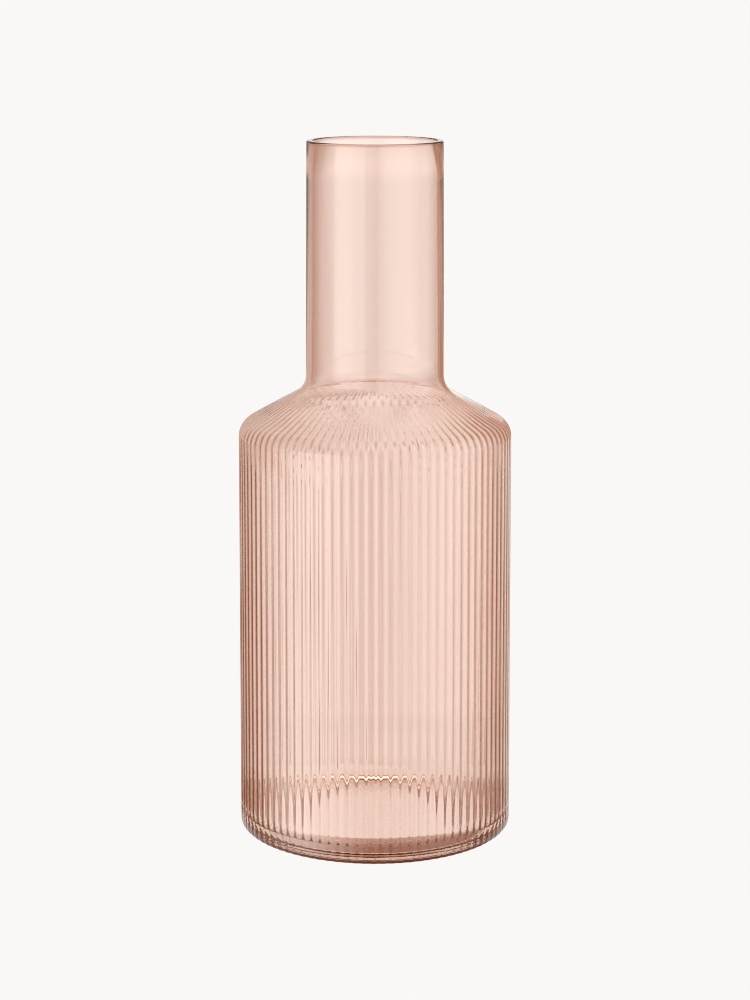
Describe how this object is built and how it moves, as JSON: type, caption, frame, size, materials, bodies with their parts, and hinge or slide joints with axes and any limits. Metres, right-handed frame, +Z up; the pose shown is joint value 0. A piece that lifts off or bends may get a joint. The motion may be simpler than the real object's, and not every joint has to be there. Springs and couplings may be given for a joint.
{
  "type": "glass carafe",
  "caption": "Ribbed carafe of rose-tinted blown glass with a straight open neck, a sloping shoulder and an upright body, for serving water or juice.",
  "frame": {"origin": "on the table, under the middle of the foot", "axes": "+Z up along the carafe's axis, from the foot to the mouth; -Y faces the viewer"},
  "size_m": [0.101, 0.101, 0.255],
  "materials": {
    "rose_glass": "clear, gloss, rose tinted"
  },
  "bodies": {
    "root": {"carafe_glass": "rose_glass"}
  },
  "joints": []
}
